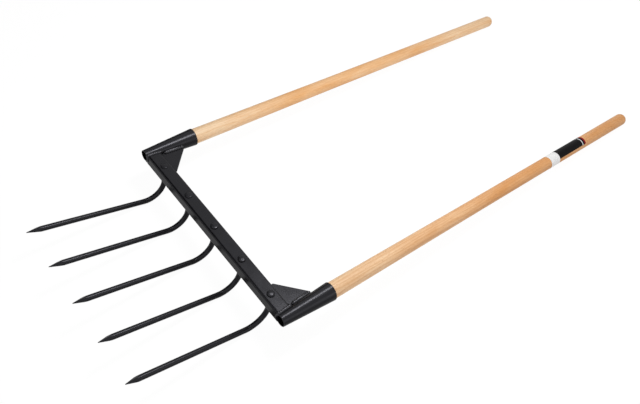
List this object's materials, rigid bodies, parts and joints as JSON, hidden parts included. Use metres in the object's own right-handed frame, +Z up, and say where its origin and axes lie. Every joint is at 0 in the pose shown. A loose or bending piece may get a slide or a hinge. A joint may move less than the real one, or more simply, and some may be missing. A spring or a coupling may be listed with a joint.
{
  "type": "broadfork",
  "caption": "Wide garden fork: round steel tines riveted through a hollow crossbar, with a long wooden handle in a welded conical socket at each end.",
  "frame": {"origin": "on the ground, under the middle of the tool's outline as it lies on the heels of its tines and its handle ends", "axes": "+X along the crossbar from the left handle to the right, +Y level from the tines towards the handle ends, +Z up"},
  "size_m": [0.5524, 1.5021, 0.0984],
  "materials": {
    "black_paint": "semi-gloss black paint",
    "painted_weld": "black paint over a rippled weld bead",
    "pale_wood": "smooth turned hardwood, thin clear varnish",
    "zinc_steel": "zinc plated",
    "white_label": "satin white label film",
    "dark_label": "glossy printed label film"
  },
  "bodies": {
    "root": {"crossbar": "black_paint", "tine_1": "black_paint", "tine_2": "black_paint", "tine_3": "black_paint", "tine_4": "black_paint", "tine_5": "black_paint", "socket_left": "black_paint", "socket_right": "black_paint", "gusset_left": "black_paint", "gusset_right": "black_paint", "bar_weld_left": "painted_weld", "bar_weld_right": "painted_weld", "gusset_weld_left": "painted_weld", "gusset_weld_right": "painted_weld", "brace_weld_left": "painted_weld", "brace_weld_right": "painted_weld", "handle_left": "pale_wood", "handle_right": "pale_wood", "handle_screw_left": "zinc_steel", "handle_screw_right": "zinc_steel", "label_band": "white_label", "label_panel": "dark_label"}
  },
  "joints": []
}
